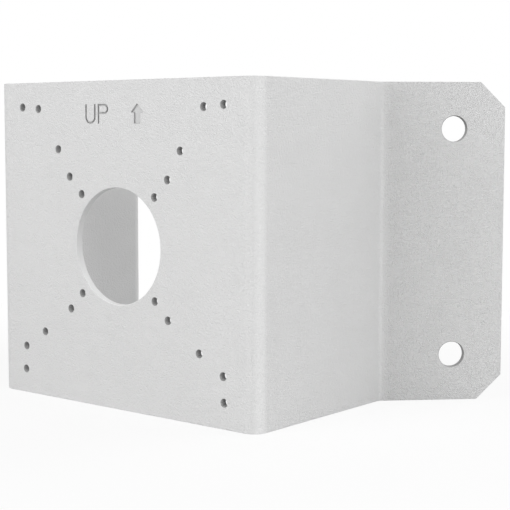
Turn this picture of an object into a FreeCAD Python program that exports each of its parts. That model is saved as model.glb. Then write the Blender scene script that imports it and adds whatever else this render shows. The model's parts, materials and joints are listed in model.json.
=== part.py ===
# Corner mount bracket for a camera: one steel sheet folded four times into a hat section.
# A plate carries the camera, two webs run back from it, and two slanted wings lie on the walls.
# Millimetres, +Z up, +Y into the building. The origin is the middle of the plate's front face.
import FreeCAD, Part
import math
import os
import Sketcher
from FreeCAD import Vector

NODE = "corner_bracket"

# Driving sizes: name, value and what it measures. Lengths are in millimetres, angles in degrees.
SIZES = [
    ("bracket_height", 150.0, "bottom edge to top edge"),
    ("plate_width", 162.5, "outer face of one web to outer face of the other"),
    ("fold_depth", 92.0, "plate's front face to the line where a web and a wing would meet"),
    ("wing_length", 58.75, "that line to the wing's free end, along the wing"),
    ("wing_angle", 45.0, "turn of a wing out of the plate's plane"),
    ("sheet_thickness", 3.5, "the same everywhere"),
    ("bend_radius", 3.5, "inside radius of all four folds"),
    ("wing_corner_cut", 11.75, "leg of the slanted cut at each wing corner"),
    ("edge_round", 0.4, "softened edge all round the sheet"),
    ("cable_hole_diameter", 53.3, "hole in the middle of the plate"),
    ("anchor_hole_diameter", 12.0, "holes for the wall anchors"),
    ("anchor_hole_setback", 34.5, "line of web and wing to the anchor holes, along the wing"),
    ("anchor_hole_margin", 21.8, "bracket's top and bottom edges to the anchor holes"),
    ("screw_hole_diameter", 3.3, "core holes for the screws of the camera's base"),
    ("small_square", 46.2, "side of the first square of screw holes"),
    ("middle_square", 62.0, "side of the second square"),
    ("large_square", 126.8, "side of the square near the plate's corners"),
    ("narrow_set_top", 77.2, "spacing of the narrow four-hole set's upper pair"),
    ("narrow_set_bottom", 98.6, "spacing of its lower pair"),
    ("narrow_set_height", 87.4, "its lower pair to its upper pair, centred on the plate"),
    ("wide_set_top", 104.4, "spacing of the wide four-hole set's upper pair"),
    ("wide_set_bottom", 125.8, "spacing of its lower pair"),
    ("wide_set_rise", 62.6, "middle of the plate up to its upper pair"),
    ("wide_set_drop", 52.0, "middle of the plate down to its lower pair"),
]

# Sets of screw holes, one for each camera base. Each line is a hole in the plate's right half:
# its distance out from the middle, then its height above it.
SCREW_SETS = {
    "SmallSquare": [
        ("Sizes.small_square / 2", "Sizes.small_square / 2"),
        ("Sizes.small_square / 2", "-Sizes.small_square / 2"),
    ],
    "MiddleSquare": [
        ("Sizes.middle_square / 2", "Sizes.middle_square / 2"),
        ("Sizes.middle_square / 2", "-Sizes.middle_square / 2"),
    ],
    "LargeSquare": [
        ("Sizes.large_square / 2", "Sizes.large_square / 2"),
        ("Sizes.large_square / 2", "-Sizes.large_square / 2"),
    ],
    "NarrowSet": [
        ("Sizes.narrow_set_top / 2", "Sizes.narrow_set_height / 2"),
        ("Sizes.narrow_set_bottom / 2", "-Sizes.narrow_set_height / 2"),
    ],
    "WideSet": [
        ("Sizes.wide_set_top / 2", "Sizes.wide_set_rise"),
        ("Sizes.wide_set_bottom / 2", "-Sizes.wide_set_drop"),
    ],
}

# How a sketch counts its own axes and the points of an edge.
ORIGIN = (-1, 1)
START, END, CENTRE = 1, 2, 3

# Two places or sizes closer than this are the same, and a seam that turns less than this is smooth.
SAME = 1e-6
SMOOTH_TURN = math.radians(1)


def make_sheet(doc):
    """Spreadsheet with one named cell for each driving size."""
    sheet = doc.addObject("Spreadsheet::Sheet", "Sizes")
    for row, (name, value, meaning) in enumerate(SIZES, 1):
        sheet.set(f"A{row}", name)
        sheet.set(f"B{row}", str(value))
        sheet.set(f"C{row}", meaning)
        sheet.setAlias(f"B{row}", name)
    doc.recompute()
    return sheet


def origin_plane(body, role):
    """One of the body's own three origin planes."""
    return next(feature for feature in body.Origin.OriginFeatures if feature.Role == role)


def new_sketch(body, name, role):
    """Empty sketch on one of the body's origin planes."""
    sketch = body.newObject("Sketcher::SketchObject", name)
    sketch.AttachmentSupport = [(origin_plane(body, role), "")]
    sketch.MapMode = "FlatFace"
    return sketch


def drive(sketch, kind, places, expression):
    """Add a dimension between the given places and let the sheet set its value."""
    value = float(sketch.evalExpression(expression))
    if kind == "Angle":
        value = math.radians(value)
    index = sketch.addConstraint(Sketcher.Constraint(kind, *places, value))
    sketch.setExpression(f"Constraints[{index}]", expression)


def add_hole(sketch, across, up, diameter):
    """Circle whose centre lies the given distances from the sketch's origin."""
    centre = Vector(float(sketch.evalExpression(across)), float(sketch.evalExpression(up)), 0)
    radius = float(sketch.evalExpression(diameter)) / 2
    circle = sketch.addGeometry(Part.Circle(centre, Vector(0, 0, 1), radius))
    drive(sketch, "DistanceX", (*ORIGIN, circle, CENTRE), across)
    drive(sketch, "DistanceY", (*ORIGIN, circle, CENTRE), up)
    drive(sketch, "Diameter", (circle,), diameter)


def cut_through(body, name, sketch):
    """Pocket through the sheet, from the side that the sketch faces. It must take metal away."""
    before = body.Tip.Shape.Volume
    pocket = body.newObject("PartDesign::Pocket", name)
    pocket.Profile = sketch
    pocket.Type = "ThroughAll"
    body.Tip = pocket
    body.Document.recompute()
    if pocket.Shape.Volume > before - SAME:
        raise RuntimeError(f"{name} takes no metal away")
    return pocket


def mirror(body, name, features):
    """Repeat features on the other side of the bracket's middle plane."""
    mirrored = body.newObject("PartDesign::Mirrored", name)
    mirrored.Originals = features
    mirrored.MirrorPlane = (origin_plane(body, "YZ_Plane"), [""])
    body.Tip = mirrored
    body.Document.recompute()


def draw_half_section(sketch, sheet):
    """Right half of the hat section, seen from above: plate, web and wing with their two folds."""
    thickness = sheet.sheet_thickness
    bend = sheet.bend_radius
    half_width = sheet.plate_width / 2
    angle = math.radians(sheet.wing_angle)
    along_wing = Vector(math.cos(angle), math.sin(angle), 0)
    off_wing = Vector(math.sin(angle), -math.cos(angle), 0)

    meeting_point = Vector(half_width, sheet.fold_depth, 0)
    front_centre = Vector(half_width - thickness - bend, thickness + bend, 0)
    rear_centre = meeting_point + Vector(bend, -bend * (1 - math.sin(angle)) / math.cos(angle), 0)
    wing_start = rear_centre - off_wing * bend
    wing_tip = meeting_point + along_wing * sheet.wing_length
    through_sheet = off_wing * thickness
    web_inside_x = half_width - thickness

    def line(start, end):
        return sketch.addGeometry(Part.LineSegment(start, end))

    def arc(centre, radius, start_angle, end_angle):
        circle = Part.Circle(centre, Vector(0, 0, 1), radius)
        return sketch.addGeometry(Part.ArcOfCircle(circle, start_angle, end_angle))

    return {
        "plate_front": line(Vector(0, 0, 0), Vector(front_centre.x, 0, 0)),
        "front_outside": arc(front_centre, bend + thickness, -math.pi / 2, 0),
        "web_outside": line(
            Vector(half_width, front_centre.y, 0), Vector(half_width, rear_centre.y, 0)
        ),
        "rear_inside": arc(rear_centre, bend, math.pi / 2 + angle, math.pi),
        "wing_front": line(wing_start, wing_tip),
        "wing_end": line(wing_tip, wing_tip - through_sheet),
        "wing_back": line(wing_tip - through_sheet, wing_start - through_sheet),
        "rear_outside": arc(rear_centre, bend + thickness, math.pi / 2 + angle, math.pi),
        "web_inside": line(
            Vector(web_inside_x, rear_centre.y, 0), Vector(web_inside_x, front_centre.y, 0)
        ),
        "front_inside": arc(front_centre, bend, -math.pi / 2, 0),
        "plate_back": line(Vector(front_centre.x, thickness, 0), Vector(0, thickness, 0)),
        "middle": line(Vector(0, thickness, 0), Vector(0, 0, 0)),
        "meeting_point": sketch.addGeometry(Part.Point(meeting_point), True),
    }


def join_half_section(sketch, part):
    """Close the outline: folds run smoothly into the flats, and the other corners are sharp."""
    for first, first_point, second, second_point in (
        ("plate_front", END, "front_outside", START),
        ("front_outside", END, "web_outside", START),
        ("web_outside", END, "rear_inside", END),
        ("rear_inside", START, "wing_front", START),
        ("wing_back", END, "rear_outside", START),
        ("rear_outside", END, "web_inside", START),
        ("web_inside", END, "front_inside", END),
        ("front_inside", START, "plate_back", START),
    ):
        smooth = (part[first], first_point, part[second], second_point)
        sketch.addConstraint(Sketcher.Constraint("Tangent", *smooth))
    for first, first_point, second, second_point in (
        ("wing_front", END, "wing_end", START),
        ("wing_end", END, "wing_back", START),
        ("plate_back", END, "middle", START),
        ("middle", END, "plate_front", START),
        ("front_outside", CENTRE, "front_inside", CENTRE),
        ("rear_outside", CENTRE, "rear_inside", CENTRE),
    ):
        shared = (part[first], first_point, part[second], second_point)
        sketch.addConstraint(Sketcher.Constraint("Coincident", *shared))
    sketch.addConstraint(Sketcher.Constraint("Coincident", part["plate_front"], START, *ORIGIN))


def size_half_section(sketch, part):
    """Set the flats' directions, then every size that the sheet drives."""
    for flat in ("plate_front", "plate_back"):
        sketch.addConstraint(Sketcher.Constraint("Horizontal", part[flat]))
    for upright in ("middle", "web_outside", "web_inside"):
        sketch.addConstraint(Sketcher.Constraint("Vertical", part[upright]))
    wing = part["wing_front"]
    sketch.addConstraint(Sketcher.Constraint("Parallel", wing, part["wing_back"]))
    sketch.addConstraint(Sketcher.Constraint("Perpendicular", wing, part["wing_end"]))
    meeting = (part["meeting_point"], START)
    for face in ("web_outside", "wing_front"):
        sketch.addConstraint(Sketcher.Constraint("PointOnObject", *meeting, part[face]))

    middle = part["middle"]
    drive(sketch, "DistanceX", (*ORIGIN, part["web_outside"], START), "Sizes.plate_width / 2")
    drive(sketch, "DistanceY", (*ORIGIN, *meeting), "Sizes.fold_depth")
    drive(sketch, "Distance", (*meeting, wing, END), "Sizes.wing_length")
    drive(sketch, "DistanceY", (middle, END, middle, START), "Sizes.sheet_thickness")
    drive(sketch, "Radius", (part["front_inside"],), "Sizes.bend_radius")
    drive(sketch, "Radius", (part["rear_inside"],), "Sizes.bend_radius")
    drive(sketch, "Angle", (wing,), "Sizes.wing_angle * 1 deg")


def fold_sheet(body, sheet):
    """Plate, webs and wings: the half section raised to full height, then mirrored."""
    sketch = new_sketch(body, "HalfSection", "XY_Plane")
    outline = draw_half_section(sketch, sheet)
    join_half_section(sketch, outline)
    size_half_section(sketch, outline)

    half = body.newObject("PartDesign::Pad", "RightHalf")
    half.Profile = sketch
    half.SideType = "Symmetric"
    half.setExpression("Length", "Sizes.bracket_height")
    body.Tip = half
    body.Document.recompute()
    mirror(body, "BothHalves", [half])


def wing_corner_edges(shape, sheet):
    """Short edges through the sheet at the four outer corners of the wings."""
    names = []
    for number, edge in enumerate(shape.Edges, 1):
        through_sheet = abs(edge.Length - sheet.sheet_thickness) < SAME
        at_wing_end = any(abs(abs(v.X) - shape.BoundBox.XMax) < SAME for v in edge.Vertexes)
        at_outline = abs(abs(edge.CenterOfMass.z) - sheet.bracket_height / 2) < SAME
        if through_sheet and at_wing_end and at_outline:
            names.append(f"Edge{number}")
    return names


def outline_edges(shape, sheet):
    """Long edges of the cut outline, leaving out smooth fold seams and edges through the sheet."""
    names = []
    for number, edge in enumerate(shape.Edges, 1):
        point = edge.valueAt((edge.FirstParameter + edge.LastParameter) / 2)
        first, second = [
            face.normalAt(*face.Surface.parameter(point))
            for face in shape.ancestorsOfType(edge, Part.Face)
        ]
        through_sheet = abs(edge.Length - sheet.sheet_thickness) < SAME
        if first.getAngle(second) > SMOOTH_TURN and not through_sheet:
            names.append(f"Edge{number}")
    return names


def trim_outline(body, sheet):
    """Slanted cuts at the wing corners, then the softened edge that runs all round."""
    blank = body.Tip
    corners = body.newObject("PartDesign::Chamfer", "WingCornerCuts")
    corners.Base = (blank, wing_corner_edges(blank.Shape, sheet))
    corners.setExpression("Size", "Sizes.wing_corner_cut")
    body.Tip = corners
    body.Document.recompute()

    rounding = body.newObject("PartDesign::Fillet", "SoftEdges")
    rounding.Base = (corners, outline_edges(corners.Shape, sheet))
    rounding.setExpression("Radius", "Sizes.edge_round")
    body.Tip = rounding
    body.Document.recompute()


def cut_cable_hole(body):
    """Large hole in the middle of the plate, where the camera's cable passes."""
    sketch = new_sketch(body, "CableHoleSketch", "XZ_Plane")
    add_hole(sketch, "0", "0", "Sizes.cable_hole_diameter")
    cut_through(body, "CableHole", sketch)


def cut_screw_set(body, name, places):
    """The right half of one set of screw holes in the plate."""
    sketch = new_sketch(body, f"{name}Sketch", "XZ_Plane")
    for across, up in places:
        add_hole(sketch, across, up, "Sizes.screw_hole_diameter")
    return cut_through(body, name, sketch)


def cut_anchor_holes(body):
    """Two wall anchor holes in the right wing, square to its face."""
    sketch = new_sketch(body, "AnchorHoleSketch", "XZ_Plane")
    upright = FreeCAD.Rotation(Vector(0, 1, 0), 1)
    sketch.AttachmentOffset = FreeCAD.Placement(Vector(), upright)
    sketch.setExpression(".AttachmentOffset.Base.x", "Sizes.plate_width / 2")
    sketch.setExpression(".AttachmentOffset.Base.z", "-Sizes.fold_depth")
    sketch.setExpression(".AttachmentOffset.Rotation.Angle", "Sizes.wing_angle * 1 deg")
    height = "(Sizes.bracket_height / 2 - Sizes.anchor_hole_margin)"
    for up in (height, f"-{height}"):
        add_hole(sketch, "Sizes.anchor_hole_setback", up, "Sizes.anchor_hole_diameter")
    return cut_through(body, "AnchorHoles", sketch)


def make_bracket(doc, sheet):
    """The whole bracket as one folded sheet."""
    body = doc.addObject("PartDesign::Body", "Bracket")
    body.Label = NODE
    body.Placement = FreeCAD.Placement()
    fold_sheet(body, sheet)
    trim_outline(body, sheet)
    cut_cable_hole(body)
    right_holes = [cut_screw_set(body, name, places) for name, places in SCREW_SETS.items()]
    right_holes.append(cut_anchor_holes(body))
    mirror(body, "LeftHoles", right_holes)
    return body


def check(doc, pieces):
    """Stop if a feature failed, or if a piece is anything but one valid solid."""
    for item in doc.Objects:
        if "Invalid" in item.State or "Error" in item.State:
            raise RuntimeError(f"{item.Name} failed: {item.State}")
    for piece in pieces:
        if piece.Shape.isNull() or not piece.Shape.isValid() or len(piece.Shape.Solids) != 1:
            raise RuntimeError(f"{piece.Label} is not one valid solid")


def main():
    doc = FreeCAD.newDocument("CornerBracket")
    sheet = make_sheet(doc)
    pieces = [make_bracket(doc, sheet)]
    doc.recompute()
    check(doc, pieces)
    os.makedirs("parts", exist_ok=True)
    for piece in pieces:
        piece.Shape.exportStep(f"parts/{piece.Label}.step")


main()
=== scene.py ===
import json
import math

import bpy
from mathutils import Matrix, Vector
from mathutils.geometry import delaunay_2d_cdt


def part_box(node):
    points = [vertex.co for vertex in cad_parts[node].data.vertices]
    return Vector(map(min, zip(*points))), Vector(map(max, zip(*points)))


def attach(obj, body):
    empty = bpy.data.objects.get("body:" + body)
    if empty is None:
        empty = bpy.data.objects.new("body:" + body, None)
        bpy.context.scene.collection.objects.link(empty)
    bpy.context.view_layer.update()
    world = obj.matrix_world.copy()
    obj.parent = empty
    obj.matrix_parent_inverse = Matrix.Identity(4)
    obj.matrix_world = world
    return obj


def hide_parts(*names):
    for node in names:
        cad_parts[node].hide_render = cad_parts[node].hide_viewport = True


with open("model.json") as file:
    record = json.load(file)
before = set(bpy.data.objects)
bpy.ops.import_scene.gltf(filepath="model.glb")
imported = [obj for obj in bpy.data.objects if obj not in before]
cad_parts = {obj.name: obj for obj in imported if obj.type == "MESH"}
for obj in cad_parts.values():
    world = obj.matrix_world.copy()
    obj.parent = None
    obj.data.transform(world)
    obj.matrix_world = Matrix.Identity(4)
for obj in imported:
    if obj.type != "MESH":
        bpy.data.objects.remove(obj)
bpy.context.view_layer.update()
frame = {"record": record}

MM = 0.001
NODE = "corner_bracket"
MOUNTS = {mount["name"]: mount for mount in frame["record"]["mounts"]}

# The folded sheet. Its height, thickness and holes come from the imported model.
HALF_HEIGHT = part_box(NODE)[1].z / MM
THICKNESS = MOUNTS["cable_hole"]["dims"]["length_mm"]
PLATE_WIDTH = 162.5
FOLD_DEPTH = 92.0
WING_LENGTH = 58.75
WING_ANGLE = math.radians(45)
BEND_RADIUS = 3.5
WING_CORNER_CUT = 11.75

# Softened edges.
EDGE_ROUND = 0.4
OUTLINE_CORNER_ROUND = 0.5
HOLE_ROUND = 0.25

# Threads in the screw holes: M4, cut after coating and countersunk at both ends.
SCREW_SETS = [name for name in MOUNTS if name.endswith("_screws")]
ANCHOR_SETS = [name for name in MOUNTS if name.endswith("_anchors")]
THREAD_PITCH = 0.7
THREAD_HEIGHT = 0.3
THREAD_ROWS_PER_PITCH = 8
COUNTERSINK = 0.3

# The engraved mark on the plate: U, P and an arrow, cut with a narrow round-nosed tool.
MARK_DEPTH = 0.8
MARK_ROUND = 0.1
MARK_STROKE = 0.8
STROKE_END = 0.2
MARK_BASE = 55.6
MARK_HEIGHT = 8.8
LETTER_WIDTH = 6.6
U_LEFT = -20.0
P_LEFT = -11.85
P_BOWL_HEIGHT = 4.4
ARROW_MIDDLE = 12.95
ARROW_HEAD_WIDTH = 7.7
ARROW_HEAD_HEIGHT = 3.9
ARROW_SHAFT_WIDTH = 3.8

# Materials of the bracket, by their number in its mesh.
POWDER_COAT, TAPPED_STEEL, MARK_FLOOR, MARK_WALL, ANCHOR_WALL, CABLE_WALL = range(6)

# Depth of the coat's grain, as a share: inside the channel, on the plate, the webs and the wings'
# wall sides, on the wings' outer faces.
COAT_GRAIN = (0.45, 0.8, 1.35)

# How far the coat is painted lighter, as a share: in general, with painted highlights on the front
# folds and on the rear folds, with painted shade on the outer faces of the wings next to the folds,
# lightening to painted light at their outer edges. Matched to the photo's shade.
PAINTED_LIGHT_SHARES = (0.33, 0.88, 0.44, 0.02, 0.46)

# Where the painted highlights at the folds, and the painted shade and grain behind the wings, change:
# start and end of each change.
FRONT_FOLD_FROM_WEB = (4.2, 1.0)  # short of the web's outer face
FRONT_FOLD_FROM_PLATE = (5.0, 8.5)  # behind the plate's front face
REAR_FOLD_FROM_LINE = (2.5, 1.0)  # short of the line where web and wing meet
REAR_FOLD_FROM_WEB = (0.5, 1.5)  # past the web's outer face
WING_FACE_FADE = (1.0, 4.0)  # behind the wing's outer face, measured along the depth

# The coat's relief, made of warped pebbles and fine pores, and the slow waves of its tone.
PEBBLES_PER_METRE = 1400.0
PEBBLE_SMOOTHNESS = 0.3
PEBBLE_SHARE = 0.7
WARPS_PER_METRE = 1100.0
WARP_REACH = 0.3
PORES_PER_METRE = 1850.0
WAVES_PER_METRE = 60.0
COAT_RELIEF = 0.5
COAT_ROUGHNESS = (0.38, 0.48)
NOISE_RANGE = (0.3, 0.7)

# Greys of the coat, from its darker waves to the painted highlight of its lightest places, then greys
# of painted shade in the mark and in the plain holes, with painted light at the cable hole's foot,
# where they are matched to the photo's shade.
COAT_GREYS = (0.66, 0.68, 0.85)
MARK_FLOOR_SHADE_GREYS = (0.6, 0.72)
MARK_WALL_SHADE_GREYS = (0.36, 0.44)
ANCHOR_WALL_SHADE_GREYS = (0.12, 0.5)
CABLE_WALL_SHADE_AND_LIGHT_GREYS = (0.54, 0.89)
RECESS_GRAINS_PER_METRE = 1500.0
RECESS_RELIEF = 0.1
RECESS_ROUGHNESS = 0.6

# Bare steel of the threads.
STEEL_GREYS = (0.26, 0.38)
STEEL_METALLIC = 0.4
STEEL_ROUGHNESS = (0.35, 0.5)
CUTS_PER_METRE = 3000.0
CUT_RELIEF = 0.03
CUT_STRENGTH = 0.4

# How finely the mesh follows the form.
FLAT_STEP = 10.0
STEPS_PER_RADIAN = 16
ROUND_STEPS = 4
CORNER_STEP = math.radians(15)
CABLE_HOLE_STEPS = 160
ANCHOR_HOLE_STEPS = 72
SCREW_HOLE_STEPS = 32
POINT_CLEARANCE = 1.0
NEAR = 1e-6
INSIDE_ONLY = 1  # asks the triangulation for nothing outside its edges

# Camera, from a fit of the bracket's edges and hole rims to the photo, which is 510 pixels square.
CAMERA_PLACE = (417.81, -415.29, 53.16)
CAMERA_TURN = 39.633
CAMERA_TILT = 5.082
FOCAL_PIXELS = 1298.55
AXIS_PIXEL = (242.32, 243.92)
PHOTO_PIXELS = 510
PHOTO_MIDDLE = 254.5
SENSOR_WIDTH = 36.0
CAMERA_CLIP = (10.0, 100_000.0)

# Studio: name, azimuth and elevation in degrees, side and power of each lamp, then the surroundings
# and the floor, which is white far out and fades to its true grey between two radii.
STUDIO_CENTRE = (0.0, FOLD_DEPTH / 2, 0.0)
LAMP_DISTANCE = 2200.0
LAMPS = [
    ("front_left", -108.0, 30.0, 1800.0, 24.3),
    ("right", -24.0, 12.0, 800.0, 11.2),
    ("rear_right", 57.0, 40.0, 1800.0, 21.6),
]
WORLD_LIGHT = 0.288
FLOOR_RADIUS = 4000.0
FLOOR_STEPS = 96
FLOOR_GREY = 0.95
FLOOR_FADE = (150.0, 350.0)
FLOOR_GLOW = 0.88

WEB_FACE = PLATE_WIDTH / 2
WING_EDGE = WEB_FACE + WING_LENGTH * math.cos(WING_ANGLE)
MIDDLE_RADIUS = BEND_RADIUS + THICKNESS / 2
SETBACK = BEND_RADIUS * math.tan(WING_ANGLE / 2)

# Stretches of the sheet from its middle outwards: name, length along the middle of its thickness,
# and turn for each millimetre of that length.
STRETCHES = [
    ("plate", WEB_FACE - THICKNESS - BEND_RADIUS, 0.0),
    ("front_fold", MIDDLE_RADIUS * math.pi / 2, 1 / MIDDLE_RADIUS),
    ("web", FOLD_DEPTH - SETBACK - THICKNESS - BEND_RADIUS, 0.0),
    ("rear_fold", MIDDLE_RADIUS * WING_ANGLE, -1 / MIDDLE_RADIUS),
    ("wing", WING_LENGTH - SETBACK, 0.0),
]


def stretch_ends():
    """Where each stretch starts and ends, counted along the sheet from its middle."""
    ends = {}
    start = 0.0
    for name, length, _ in STRETCHES:
        ends[name] = (start, start + length)
        start += length
    return ends


ENDS = stretch_ends()
PLATE_END = ENDS["plate"][1]
WING_START, SHEET_END = ENDS["wing"]


def place(corner):
    """Point and normal of a corner that is given on the flattened sheet.

    A corner is (along, up, depth, normal along, normal up, normal front): its distance along the
    sheet from the middle, its height, and how deep it lies behind the front face.
    """
    along, up, depth, normal_along, normal_up, normal_front = corner
    x, y, heading = 0.0, THICKNESS / 2, 0.0
    rest = abs(along)
    for _, length, turn_rate in STRETCHES:
        step = min(rest, length)
        if turn_rate:
            end = heading + turn_rate * step
            x += (math.sin(end) - math.sin(heading)) / turn_rate
            y -= (math.cos(end) - math.cos(heading)) / turn_rate
            heading = end
        else:
            x += step * math.cos(heading)
            y += step * math.sin(heading)
        rest -= step
    side = math.copysign(1.0, along)
    forward = THICKNESS / 2 - depth
    front = (side * math.sin(heading), -math.cos(heading))
    ahead = (math.cos(heading), side * math.sin(heading))
    point = (side * x + forward * front[0], y + forward * front[1], up)
    normal = (
        normal_along * ahead[0] + normal_front * front[0],
        normal_along * ahead[1] + normal_front * front[1],
        normal_up,
    )
    return point, normal


class Skin:
    """Faces that share their points, with the true normal of the surface at each of their corners."""

    SAME_POINT = 1e-5

    def __init__(self):
        self.points = []
        self.known = {}
        self.faces = []
        self.normals = []
        self.materials = []

    def add_face(self, corners, material):
        face = []
        for corner in corners:
            point, normal = place(corner)
            key = tuple(round(value / self.SAME_POINT) for value in point)
            if key not in self.known:
                self.known[key] = len(self.points)
                self.points.append(point)
            face.append(self.known[key])
            self.normals.append(normal)
        self.faces.append(face)
        self.materials.append(material)

    def add_grid(self, rows, closed=False, material=POWDER_COAT):
        """Four-sided faces between rows of corners. A closed grid joins the ends of each row."""
        for first, second in zip(rows, rows[1:]):
            count = len(first)
            for i in range(count if closed else count - 1):
                j = (i + 1) % count
                self.add_face((first[i], first[j], second[j], second[i]), material)

    def add_panel(self, rings, depth, front=1, inner_points=(), material=POWDER_COAT):
        """Flat triangles at one depth, inside an odd number of the rings. Front is 1 or -1."""
        points = [point for ring in rings for point in ring]
        edges = []
        for ring in rings:
            first = len(edges)
            edges += [(first + i, first + (i + 1) % len(ring)) for i in range(len(ring))]
        points += inner_points
        flat = [Vector(point) for point in points]
        _, _, faces, origins, _, _ = delaunay_2d_cdt(flat, edges, [], INSIDE_ONLY, NEAR)
        for face in faces:
            triangle = [points[origins[i][0]] for i in face]
            middle = [sum(values) / 3 for values in zip(*triangle)]
            if sum(is_inside(middle, ring) for ring in rings) % 2:
                corners = [(along, up, depth, 0, 0, front) for along, up in triangle]
                self.add_face(corners[::front], material)

    def make_object(self, name, materials):
        mesh = bpy.data.meshes.new(name)
        metres = [tuple(value * MM for value in point) for point in self.points]
        mesh.from_pydata(metres, [], self.faces, shade_flat=False)
        for material in materials:
            mesh.materials.append(material)
        mesh.polygons.foreach_set("material_index", self.materials)
        mesh.normals_split_custom_set(self.normals)
        piece = bpy.data.objects.new(name, mesh)
        bpy.context.scene.collection.objects.link(piece)
        return piece


def is_inside(point, ring):
    """Whether a point of the flattened sheet lies inside a closed ring."""
    x, y = point
    inside = False
    for (ax, ay), (bx, by) in zip(ring, ring[1:] + ring[:1]):
        if (ay > y) != (by > y) and x < ax + (y - ay) / (by - ay) * (bx - ax):
            inside = not inside
    return inside


def spread(start, end, step):
    """Values from start to end, both included, at most a step apart."""
    count = max(1, math.ceil((end - start) / step))
    return [start + (end - start) * i / count for i in range(count)] + [end]


def rounded_loop(corners):
    """Closed counter-clockwise loop whose corners, given as (along, up, radius), become arcs.

    Each of its points is (along, up, out along, out up), where out leads away from the loop.
    """
    loop = []
    for i, (along, up, radius) in enumerate(corners):
        last_along, last_up, _ = corners[i - 1]
        next_along, next_up, _ = corners[(i + 1) % len(corners)]
        before = math.atan2(up - last_up, along - last_along)
        after = math.atan2(next_up - up, next_along - along)
        turn = (after - before + math.pi) % (2 * math.pi) - math.pi
        bulge = math.copysign(radius, turn)
        out = before - math.pi / 2
        tangent = radius * math.tan(abs(turn) / 2)
        centre_along = along - tangent * math.cos(before) - bulge * math.cos(out)
        centre_up = up - tangent * math.sin(before) - bulge * math.sin(out)
        steps = max(2, math.ceil(abs(turn) / CORNER_STEP))
        for k in range(steps + 1):
            lead = (math.cos(out + turn * k / steps), math.sin(out + turn * k / steps))
            loop.append((centre_along + bulge * lead[0], centre_up + bulge * lead[1], *lead))
    return loop


def circle(centre, radius, steps):
    """Round loop in the same form as a rounded loop."""
    loop = []
    for k in range(steps):
        lead = (math.cos(2 * math.pi * k / steps), math.sin(2 * math.pi * k / steps))
        loop.append((centre[0] + radius * lead[0], centre[1] + radius * lead[1], *lead))
    return loop


def turned_inside_out(loop):
    """The same loop as the edge of a hole: metal outside it, and out leading into the hole."""
    return [(along, up, -lead_along, -lead_up) for along, up, lead_along, lead_up in loop[::-1]]


def moved_in(loop, inset):
    """Ring of plain points, moved from an edge into the metal beside it."""
    return [
        (along - inset * lead_along, up - inset * lead_up)
        for along, up, lead_along, lead_up in loop
    ]


def edge_row(loop, inset, depth, out, front):
    """Corners along an edge at one place of its cross-section."""
    ring = moved_in(loop, inset)
    return [
        (along, up, depth, out * lead_along, out * lead_up, front)
        for (along, up), (_, _, lead_along, lead_up) in zip(ring, loop)
    ]


def softened(loop, radius, depth, front):
    """Rows round the softened edge of a face at the given depth, from the face to the wall."""
    rows = []
    for k in range(ROUND_STEPS + 1):
        angle = math.pi / 2 * k / ROUND_STEPS
        inset = radius * (1 - math.sin(angle))
        sunk = radius * (1 - math.cos(angle)) * front
        rows.append(edge_row(loop, inset, depth + sunk, math.sin(angle), math.cos(angle) * front))
    return rows


def add_edge(skin, loop, radius, material=POWDER_COAT):
    """Wall through the sheet with both its edges softened."""
    front_rows = softened(loop, radius, 0, 1)
    back_rows = softened(loop, radius, THICKNESS, -1)
    skin.add_grid(back_rows + front_rows[::-1], closed=True, material=material)


def add_plain_hole(skin, centre, radius, steps, material):
    """Wall of a round hole with softened edges. Gives back the ring that it cuts in both faces."""
    add_edge(skin, turned_inside_out(circle(centre, radius, steps)), HOLE_ROUND, material)
    return circle(centre, radius + HOLE_ROUND, steps)


def flat_outline(columns):
    """Edge of the whole flattened sheet, counter-clockwise, with a point at each column."""
    cut = SHEET_END - WING_CORNER_CUT
    low_cut = HALF_HEIGHT - WING_CORNER_CUT
    right_end = [(cut, -HALF_HEIGHT), (SHEET_END, -low_cut), (SHEET_END, low_cut), (cut, HALF_HEIGHT)]
    left_end = [(-along, -up) for along, up in right_end]
    loop = rounded_loop([(*point, OUTLINE_CORNER_ROUND) for point in right_end + left_end])
    right = [corner for corner in loop if corner[0] > 0]
    bottom = [(along, -HALF_HEIGHT, 0.0, -1.0) for along in columns]
    return [tuple(side * value for value in corner) for side in (1, -1) for corner in bottom + right]


def sheet_columns():
    """Places along the sheet where its mesh has an upright line, for each stretch of its right half."""
    columns = {}
    for name, length, turn_rate in STRETCHES:
        start, end = ENDS[name]
        step = 1 / (STEPS_PER_RADIAN * abs(turn_rate)) if turn_rate else FLAT_STEP
        if name == "wing":
            end -= WING_CORNER_CUT + FLAT_STEP / 2
        columns[name] = spread(start, end, step)
    columns["plate"] = spread(-PLATE_END, PLATE_END, FLAT_STEP)
    return columns


def cable_hole():
    """Centre and radius of the large hole in the middle of the plate."""
    mount = MOUNTS["cable_hole"]
    return (mount["pos_m"][0] / MM, mount["pos_m"][2] / MM), mount["dims"]["r_mm"]


def mount_holes(name):
    """Centres of a mount's holes on the flattened sheet, and their radius."""
    mount = MOUNTS[name]
    dims = mount["dims"]
    x, y, z = (value / MM for value in mount["pos_m"])
    if "pcd_mm" in dims:
        reach = math.hypot(abs(x) - WEB_FACE, y - FOLD_DEPTH) - SETBACK
        along = math.copysign(WING_START + reach, x)
        shifts = [(0, dims["pcd_mm"] / 2), (0, -dims["pcd_mm"] / 2)]
    else:
        along = x
        half_up = dims.get("spacing_y_mm", 0) / 2
        sides = {(side * dims["spacing_x_mm"] / 2, up * half_up) for side in (1, -1) for up in (1, -1)}
        shifts = sorted(sides)
    return [(along + shift, z + rise) for shift, rise in shifts], dims["hole_r_mm"]


def thread_groove(depth, angle):
    """How far a tapped wall lies outside its core hole: in the thread, or at a countersunk end."""
    thread = THREAD_HEIGHT * (1 - math.cos(2 * math.pi * depth / THREAD_PITCH - angle)) / 2
    return max(thread, COUNTERSINK - min(depth, THICKNESS - depth))


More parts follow.
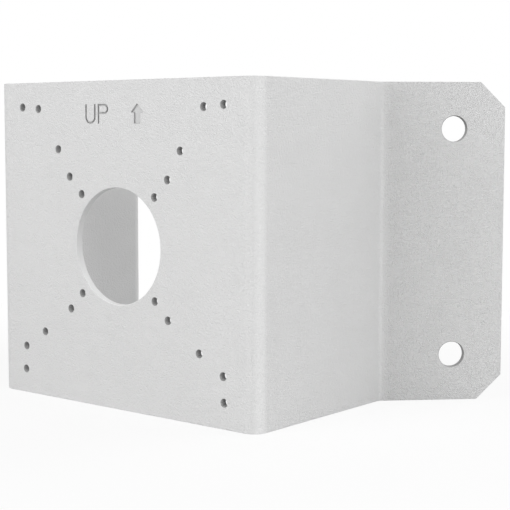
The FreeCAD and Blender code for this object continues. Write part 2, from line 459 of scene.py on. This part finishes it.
def thread_rows(centre, radius):
    """Rows of a tapped wall, front to back."""
    nudge = 1e-3
    rows = []
    for depth in spread(0, THICKNESS, THREAD_PITCH / THREAD_ROWS_PER_PITCH):
        row = []
        for k in range(SCREW_HOLE_STEPS):
            angle = 2 * math.pi * k / SCREW_HOLE_STEPS
            reach = radius + thread_groove(depth, angle)
            around = thread_groove(depth, angle + nudge) - thread_groove(depth, angle - nudge)
            along = thread_groove(depth + nudge, angle) - thread_groove(depth - nudge, angle)
            around, along = around / (2 * nudge * reach), along / (2 * nudge)
            cos, sin = math.cos(angle), math.sin(angle)
            normal = Vector((-cos - sin * around, -sin + cos * around, -along)).normalized()
            row.append((centre[0] + reach * cos, centre[1] + reach * sin, depth, *normal))
        rows.append(row[::-1])
    return rows


def letter_u(left):
    """Outline of an engraved U: one stroke down, round and up again."""
    top, base, right, stroke = MARK_BASE + MARK_HEIGHT, MARK_BASE, left + LETTER_WIDTH, MARK_STROKE
    bowl = LETTER_WIDTH / 2 - STROKE_END
    outer = [
        (left, top, STROKE_END),
        (left, base, bowl),
        (right, base, bowl),
        (right, top, STROKE_END),
        (right - stroke, top, STROKE_END),
        (right - stroke, base + stroke, bowl - stroke),
        (left + stroke, base + stroke, bowl - stroke),
        (left + stroke, top, STROKE_END),
    ]
    return [turned_inside_out(rounded_loop(outer))]


def letter_p(left):
    """Outline of an engraved P, and the island inside its bowl."""
    top, base, right, stroke = MARK_BASE + MARK_HEIGHT, MARK_BASE, left + LETTER_WIDTH, MARK_STROKE
    bowl_base = top - P_BOWL_HEIGHT
    bowl = P_BOWL_HEIGHT / 2 - MARK_ROUND
    outer = [
        (left, base, STROKE_END),
        (left + stroke, base, STROKE_END),
        (left + stroke, bowl_base, STROKE_END),
        (right, bowl_base, bowl),
        (right, top, bowl),
        (left, top, STROKE_END),
    ]
    island = [
        (left + stroke, bowl_base + stroke, STROKE_END),
        (right - stroke, bowl_base + stroke, bowl - stroke),
        (right - stroke, top - stroke, bowl - stroke),
        (left + stroke, top - stroke, STROKE_END),
    ]
    return [turned_inside_out(rounded_loop(outer)), rounded_loop(island)]


def arrow(middle):
    """Outline of an engraved arrow that points up."""
    top, base = MARK_BASE + MARK_HEIGHT, MARK_BASE
    head_base, head, shaft = top - ARROW_HEAD_HEIGHT, ARROW_HEAD_WIDTH / 2, ARROW_SHAFT_WIDTH / 2
    outer = [
        (middle, top, STROKE_END),
        (middle - head, head_base, STROKE_END),
        (middle - shaft, head_base, STROKE_END),
        (middle - shaft, base, STROKE_END),
        (middle + shaft, base, STROKE_END),
        (middle + shaft, head_base, STROKE_END),
        (middle + head, head_base, STROKE_END),
    ]
    return [turned_inside_out(rounded_loop(outer))]


def add_mark(skin, loops):
    """Groove cut into the plate's front between the given loops, with a rounded foot."""
    for loop in loops:
        rows = softened(loop, MARK_ROUND, 0, 1)
        for k in range(ROUND_STEPS + 1):
            angle = math.pi / 2 * k / ROUND_STEPS
            inset = -MARK_ROUND * (1 - math.cos(angle))
            depth = MARK_DEPTH - MARK_ROUND * (1 - math.sin(angle))
            rows.append(edge_row(loop, inset, depth, math.cos(angle), math.sin(angle)))
        skin.add_grid(rows[::-1], closed=True, material=MARK_WALL)
    floor_rings = [moved_in(loop, -MARK_ROUND) for loop in loops]
    skin.add_panel(floor_rings, MARK_DEPTH, material=MARK_FLOOR)


def panel_ring(outline, levels, start, end):
    """Ring of plain points round a flat stretch of the sheet between two places along it."""
    flat = moved_in(outline, EDGE_ROUND)
    inside = [start - NEAR < along < end + NEAR for along, _ in flat]
    first = next(i for i in range(len(flat)) if inside[i] and not inside[i - 1])
    ring = []
    for i in range(len(flat)):
        j = (first + i) % len(flat)
        if not inside[j]:
            continue
        if ring and not inside[j - 1]:
            side = ring[-1][0]
            ring += [(side, level) for level in levels[1:-1]]
        ring.append(flat[j])
    side = ring[0][0]
    ring += [(side, level) for level in levels[-2:0:-1]]
    return ring


def panel_grid(rings, columns, levels):
    """Evenly laid points inside a panel's first ring and clear of all its rings."""
    edge = [point for ring in rings for point in ring]
    found = []
    for along in columns[1:-1]:
        for up in levels[1:-1]:
            clear = all(math.hypot(along - a, up - b) > POINT_CLEARANCE for a, b in edge)
            if clear and sum(is_inside((along, up), ring) for ring in rings) == 1:
                found.append((along, up))
    return found


def add_flat_stretch(skin, ring, columns, levels, holes, marks=()):
    """Front and back of a flat stretch, with its holes and marks cut out."""
    hole_rings = [[(along, up) for along, up, *_ in hole] for hole in holes]
    mark_rings = [moved_in(loop, MARK_ROUND) for loops in marks for loop in loops]
    for depth, front, rings in (
        (0, 1, [ring, *hole_rings, *mark_rings]),
        (THICKNESS, -1, [ring, *hole_rings]),
    ):
        skin.add_panel(rings, depth, front, panel_grid(rings, columns, levels))


def build_bracket(materials):
    """The whole sheet as one closed mesh."""
    skin = Skin()
    columns = sheet_columns()
    placed = set(columns["plate"])
    for name, _, _ in STRETCHES[1:]:
        placed |= {side * along for along in columns[name] for side in (1, -1)}
    outline = flat_outline(sorted(placed))
    add_edge(skin, outline, EDGE_ROUND)
    flat_top = HALF_HEIGHT - EDGE_ROUND
    levels = spread(-flat_top, flat_top, FLAT_STEP)

    for name in ("front_fold", "web", "rear_fold"):
        for side in (1, -1):
            places = sorted(side * along for along in columns[name])
            front = [[(along, up, 0, 0, 0, 1) for along in places] for up in levels]
            back = [[(along, up, THICKNESS, 0, 0, -1) for along in places] for up in levels]
            skin.add_grid(front)
            skin.add_grid(back[::-1])

    plate_holes = [add_plain_hole(skin, *cable_hole(), CABLE_HOLE_STEPS, CABLE_WALL)]
    wing_holes = {1: [], -1: []}
    for name in SCREW_SETS:
        centres, radius = mount_holes(name)
        for centre in centres:
            skin.add_grid(thread_rows(centre, radius)[::-1], closed=True, material=TAPPED_STEEL)
            plate_holes.append(circle(centre, radius + COUNTERSINK, SCREW_HOLE_STEPS))
    for name in ANCHOR_SETS:
        centres, radius = mount_holes(name)
        for centre in centres:
            ring = add_plain_hole(skin, centre, radius, ANCHOR_HOLE_STEPS, ANCHOR_WALL)
            wing_holes[int(math.copysign(1, centre[0]))].append(ring)

    marks = [letter_u(U_LEFT), letter_p(P_LEFT), arrow(ARROW_MIDDLE)]
    for loops in marks:
        add_mark(skin, loops)
    ring = panel_ring(outline, levels, -PLATE_END, PLATE_END)
    add_flat_stretch(skin, ring, columns["plate"], levels, plate_holes, marks)
    for side in (1, -1):
        start, end = sorted((side * WING_START, side * SHEET_END))
        ring = panel_ring(outline, levels, start, end)
        places = sorted(side * along for along in columns["wing"] + [SHEET_END])
        add_flat_stretch(skin, ring, places, levels, wing_holes[side])
    return skin.make_object("bracket_sheet", materials)


class Nodes:
    """Short way to lay out a node tree."""

    def __init__(self, tree):
        tree.nodes.clear()
        self.tree = tree

    def add(self, kind, values=None, **settings):
        node = self.tree.nodes.new(kind)
        for name, value in settings.items():
            setattr(node, name, value)
        for name, value in (values or {}).items():
            if isinstance(value, bpy.types.NodeSocket):
                self.tree.links.new(value, node.inputs[name])
            else:
                node.inputs[name].default_value = value
        return node

    def math(self, operation, first, second=0.0):
        return self.add("ShaderNodeMath", {0: first, 1: second}, operation=operation).outputs[0]

    def vector(self, operation, first, second):
        values = {0: first, 1: second}
        return self.add("ShaderNodeVectorMath", values, operation=operation).outputs["Vector"]

    def place(self):
        """Where a point lies on its object, in metres."""
        return self.add("ShaderNodeTexCoord").outputs["Object"]

    def noise(self, place_on, per_metre, detail):
        values = {"Vector": place_on, "Scale": per_metre, "Detail": detail}
        return self.add("ShaderNodeTexNoise", values)

    def ramp(self, value, start, end, first, last):
        """Straight change from first to last while the value goes from start to end."""
        span = {"From Min": start, "From Max": end, "To Min": first, "To Max": last}
        return self.add("ShaderNodeMapRange", {"Value": value, **span}).outputs[0]

    def blend(self, share, first, last):
        values = {"Factor": share, "A": first, "B": last}
        return self.add("ShaderNodeMix", values, data_type="RGBA").outputs["Result"]

    def bump(self, height, depth, strength=1.0):
        values = {"Height": height, "Strength": strength, "Distance": depth * MM}
        return self.add("ShaderNodeBump", values).outputs[0]

    def finish(self, surface):
        self.add("ShaderNodeOutputMaterial", {"Surface": surface})


def new_material(name):
    """Empty material and the nodes to fill it with."""
    material = bpy.data.materials.new(name)
    material.use_nodes = True
    return material, Nodes(material.node_tree)


def grey(level):
    return (level, level, level, 1.0)


def outer_wing(nodes, across, back):
    """1 on the outer faces of the wings and 0 elsewhere, with a gradual change at the folds."""
    past_web = nodes.ramp(across, WEB_FACE * MM, (WEB_FACE + THICKNESS) * MM, 0.0, 1.0)
    behind = nodes.math("SUBTRACT", back, across)
    start, end = [(FOLD_DEPTH - WEB_FACE + depth) * MM for depth in WING_FACE_FADE]
    outer = nodes.ramp(behind, start, end, 1.0, 0.0)
    return nodes.math("MINIMUM", past_web, outer)


def coat_grain(nodes, across, back):
    """How deep the coat's grain is: smoothest inside the channel, deepest outside on the wings."""
    smooth, plain, deep = COAT_GRAIN
    outside = nodes.ramp(across, (WEB_FACE - THICKNESS) * MM, WEB_FACE * MM, smooth, plain)
    front = nodes.ramp(back, THICKNESS * MM, 0.0, smooth, plain)
    wing = nodes.ramp(outer_wing(nodes, across, back), 0.0, 1.0, smooth, deep)
    return nodes.math("MAXIMUM", nodes.math("MAXIMUM", outside, front), wing)


def painted_light_and_shade(nodes, across, back):
    """Painted highlight and shade, matched to the photo: lightest on the front folds, darkest where
    wings begin.
    """
    plain, on_front_fold, on_rear_fold, on_wing, on_wing_edge = PAINTED_LIGHT_SHARES
    start, end = [(WEB_FACE - gap) * MM for gap in FRONT_FOLD_FROM_WEB]
    past_plate = nodes.ramp(across, start, end, 0.0, on_front_fold)
    start, end = [gap * MM for gap in FRONT_FOLD_FROM_PLATE]
    front_fold = nodes.math("MULTIPLY", past_plate, nodes.ramp(back, start, end, 1.0, 0.0))
    start, end = [(FOLD_DEPTH - gap) * MM for gap in REAR_FOLD_FROM_LINE]
    past_web = nodes.ramp(back, start, end, 0.0, on_rear_fold)
    start, end = [(WEB_FACE + gap) * MM for gap in REAR_FOLD_FROM_WEB]
    rear_fold = nodes.math("MULTIPLY", past_web, nodes.ramp(across, start, end, 1.0, 0.0))
    wing = nodes.ramp(across, WEB_FACE * MM, WING_EDGE * MM, on_wing, on_wing_edge)
    flat = nodes.ramp(outer_wing(nodes, across, back), 0.0, 1.0, plain, wing)
    return nodes.math("MAXIMUM", nodes.math("MAXIMUM", front_fold, rear_fold), flat)


def powder_coat():
    """Light grey-white powder coat with a fine leather-like skin, painted highlights on its folds and
    painted shade where its wings begin.
    """
    material, nodes = new_material("powder_coat")
    place_on = nodes.place()
    across, back, _ = nodes.add("ShaderNodeSeparateXYZ", {"Vector": place_on}).outputs
    across = nodes.math("ABSOLUTE", across)

    warp = nodes.noise(place_on, WARPS_PER_METRE, 1.0).outputs["Color"]
    shift = nodes.vector("SUBTRACT", warp, (0.5, 0.5, 0.5))
    shift = nodes.vector("MULTIPLY", shift, (WARP_REACH * MM,) * 3)
    pebbles = nodes.add(
        "ShaderNodeTexVoronoi",
        {
            "Vector": nodes.vector("ADD", place_on, shift),
            "Scale": PEBBLES_PER_METRE,
            "Smoothness": PEBBLE_SMOOTHNESS,
        },
        feature="SMOOTH_F1",
    ).outputs["Distance"]
    fine = nodes.noise(place_on, PORES_PER_METRE, 1.0).outputs["Fac"]
    waves = nodes.noise(place_on, WAVES_PER_METRE, 2.0).outputs["Fac"]
    height = nodes.math("MULTIPLY", nodes.math("SUBTRACT", 1.0, pebbles), PEBBLE_SHARE)
    height = nodes.math("ADD", height, nodes.math("MULTIPLY", fine, 1 - PEBBLE_SHARE))
    height = nodes.math("MULTIPLY", height, coat_grain(nodes, across, back))

    darker, lighter, highlight_grey = (grey(level) for level in COAT_GREYS)
    color = nodes.blend(nodes.ramp(waves, *NOISE_RANGE, 0.0, 1.0), darker, lighter)
    # Painted highlights on the folds and painted shade on the wings, mirrored to both halves.
    color = nodes.blend(painted_light_and_shade(nodes, across, back), color, highlight_grey)
    shader = nodes.add(
        "ShaderNodeBsdfPrincipled",
        {
            "Base Color": color,
            "Roughness": nodes.ramp(fine, *NOISE_RANGE, *COAT_ROUGHNESS),
            "Normal": nodes.bump(height, COAT_RELIEF),
        },
    )
    nodes.finish(shader.outputs[0])
    return material


def shaded_recess_coat(name, greys, radius=0.0, spacing=0.0):
    """Coat in the engraved mark and in the plain holes, with greys of painted shade matched to the
    photo's shade.

    In holes of a given radius it gets lighter from their top to their foot: painted shade at the top,
    and in the cable hole painted light at the foot. They lie at mid-height, or with a spacing at half
    of that above and below it.
    """
    material, nodes = new_material(name)
    place_on = nodes.place()
    grain = nodes.noise(place_on, RECESS_GRAINS_PER_METRE, 2.0).outputs["Fac"]
    share = grain
    # Painted shade at the holes' tops, lightening towards their feet.
    if radius:
        height = nodes.add("ShaderNodeSeparateXYZ", {"Vector": place_on}).outputs["Z"]
        if spacing:
            height = nodes.math("FLOORED_MODULO", height, spacing * MM)
        middle = spacing / 2
        share = nodes.ramp(height, (middle + radius) * MM, (middle - radius) * MM, 0.0, 1.0)
    darkest, lightest = greys
    shader = nodes.add(
        "ShaderNodeBsdfPrincipled",
        {
            "Base Color": nodes.blend(share, grey(darkest), grey(lightest)),
            "Roughness": RECESS_ROUGHNESS,
            "Normal": nodes.bump(grain, RECESS_RELIEF),
        },
    )
    nodes.finish(shader.outputs[0])
    return material


def tapped_steel():
    """Dull bare steel of the threads."""
    material, nodes = new_material("tapped_steel")
    grain = nodes.noise(nodes.place(), CUTS_PER_METRE, 2.0).outputs["Fac"]
    darkest, lightest = STEEL_GREYS
    shader = nodes.add(
        "ShaderNodeBsdfPrincipled",
        {
            "Base Color": nodes.blend(grain, grey(darkest), grey(lightest)),
            "Metallic": STEEL_METALLIC,
            "Roughness": nodes.ramp(grain, *NOISE_RANGE, *STEEL_ROUGHNESS),
            "Normal": nodes.bump(grain, CUT_RELIEF, CUT_STRENGTH),
        },
    )
    nodes.finish(shader.outputs[0])
    return material


def bracket_materials():
    """Materials of the bracket, in the order of their numbers above."""
    anchor_holes = MOUNTS[ANCHOR_SETS[0]]["dims"]
    return [
        powder_coat(),
        tapped_steel(),
        # Painted shade in the mark and on the anchor holes' walls; on the cable hole's wall painted
        # shade at the top and painted light at the foot.
        shaded_recess_coat("mark_coat", MARK_FLOOR_SHADE_GREYS),
        shaded_recess_coat("mark_wall_coat", MARK_WALL_SHADE_GREYS),
        shaded_recess_coat("hole_coat", ANCHOR_WALL_SHADE_GREYS, anchor_holes["hole_r_mm"], anchor_holes["pcd_mm"]),
        shaded_recess_coat("cable_hole_coat", CABLE_WALL_SHADE_AND_LIGHT_GREYS, cable_hole()[1]),
    ]


def seen_directly(nodes):
    """1 for rays that show the background: from the camera, in a reflection or through glass."""
    path = nodes.add("ShaderNodeLightPath").outputs
    seen = nodes.math("MAXIMUM", path["Is Camera Ray"], path["Is Glossy Ray"])
    return nodes.math("MAXIMUM", seen, path["Is Transmission Ray"])


def floor_material():
    """Pale floor that keeps the shadow near the object and fades to plain white further out."""
    material, nodes = new_material("floor_white")
    flat = nodes.vector("MULTIPLY", nodes.place(), (1.0, 1.0, 0.0))
    distance = nodes.add("ShaderNodeVectorMath", {0: flat}, operation="LENGTH").outputs["Value"]
    start, end = [radius * MM for radius in FLOOR_FADE]
    span = {"From Min": start, "From Max": end, "To Min": FLOOR_GLOW, "To Max": 1.0}
    fade = nodes.add(
        "ShaderNodeMapRange", {"Value": distance, **span}, interpolation_type="SMOOTHSTEP"
    ).outputs[0]
    share = nodes.math("MULTIPLY", fade, seen_directly(nodes))
    matte = nodes.add("ShaderNodeBsdfDiffuse", {"Color": grey(FLOOR_GREY)}).outputs[0]
    white = nodes.add("ShaderNodeEmission", {"Color": grey(1.0), "Strength": 1.0}).outputs[0]
    mix = nodes.add("ShaderNodeMixShader", {0: share, 1: matte, 2: white})
    nodes.finish(mix.outputs[0])
    return material


def add_floor():
    """Round floor at the bracket's bottom edges."""
    ring = [(x * MM, y * MM, 0.0) for x, y, *_ in circle((0.0, 0.0), FLOOR_RADIUS, FLOOR_STEPS)]
    mesh = bpy.data.meshes.new("floor")
    mesh.from_pydata(ring, [], [list(range(FLOOR_STEPS))])
    mesh.materials.append(floor_material())
    floor = bpy.data.objects.new("floor", mesh)
    floor.location = Vector((*STUDIO_CENTRE[:2], -HALF_HEIGHT)) * MM
    bpy.context.scene.collection.objects.link(floor)


def light_world():
    """White surroundings, which light the object evenly at a lower level."""
    world = bpy.data.worlds.new("studio")
    bpy.context.scene.world = world
    world.use_nodes = True
    nodes = Nodes(world.node_tree)
    strength = nodes.ramp(seen_directly(nodes), 0.0, 1.0, WORLD_LIGHT, 1.0)
    shine = nodes.add("ShaderNodeBackground", {"Color": grey(1.0), "Strength": strength})
    nodes.add("ShaderNodeOutputWorld", {"Surface": shine.outputs[0]})


def add_lamp(name, azimuth, elevation, size, power):
    """Square soft lamp that faces the bracket."""
    light = bpy.data.lights.new(name, "AREA")
    light.size = size * MM
    light.energy = power
    azimuth, elevation = math.radians(azimuth), math.radians(elevation)
    outwards = Vector(
        (
            math.cos(elevation) * math.cos(azimuth),
            math.cos(elevation) * math.sin(azimuth),
            math.sin(elevation),
        )
    )
    lamp = bpy.data.objects.new(name, light)
    lamp.location = (Vector(STUDIO_CENTRE) + LAMP_DISTANCE * outwards) * MM
    lamp.rotation_mode = "QUATERNION"
    lamp.rotation_quaternion = (-outwards).to_track_quat("-Z", "Y")
    bpy.context.scene.collection.objects.link(lamp)


def add_camera():
    """Camera fitted to the bracket's edges and hole rims in the photo."""
    data = bpy.data.cameras.new("camera")
    data.sensor_width = SENSOR_WIDTH
    data.lens = FOCAL_PIXELS * SENSOR_WIDTH / PHOTO_PIXELS
    data.shift_x = (PHOTO_MIDDLE - AXIS_PIXEL[0]) / PHOTO_PIXELS
    data.shift_y = (AXIS_PIXEL[1] - PHOTO_MIDDLE) / PHOTO_PIXELS
    data.clip_start, data.clip_end = (reach * MM for reach in CAMERA_CLIP)
    camera = bpy.data.objects.new("camera", data)
    camera.location = Vector(CAMERA_PLACE) * MM
    camera.rotation_euler = (math.radians(90 - CAMERA_TILT), 0.0, math.radians(CAMERA_TURN))
    bpy.context.scene.collection.objects.link(camera)
    bpy.context.scene.camera = camera


def main():
    bracket = build_bracket(bracket_materials())
    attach(bracket, "root")
    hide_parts(NODE)
    add_floor()
    light_world()
    for lamp in LAMPS:
        add_lamp(*lamp)
    add_camera()
    bpy.context.scene.view_settings.view_transform = "Standard"


main()
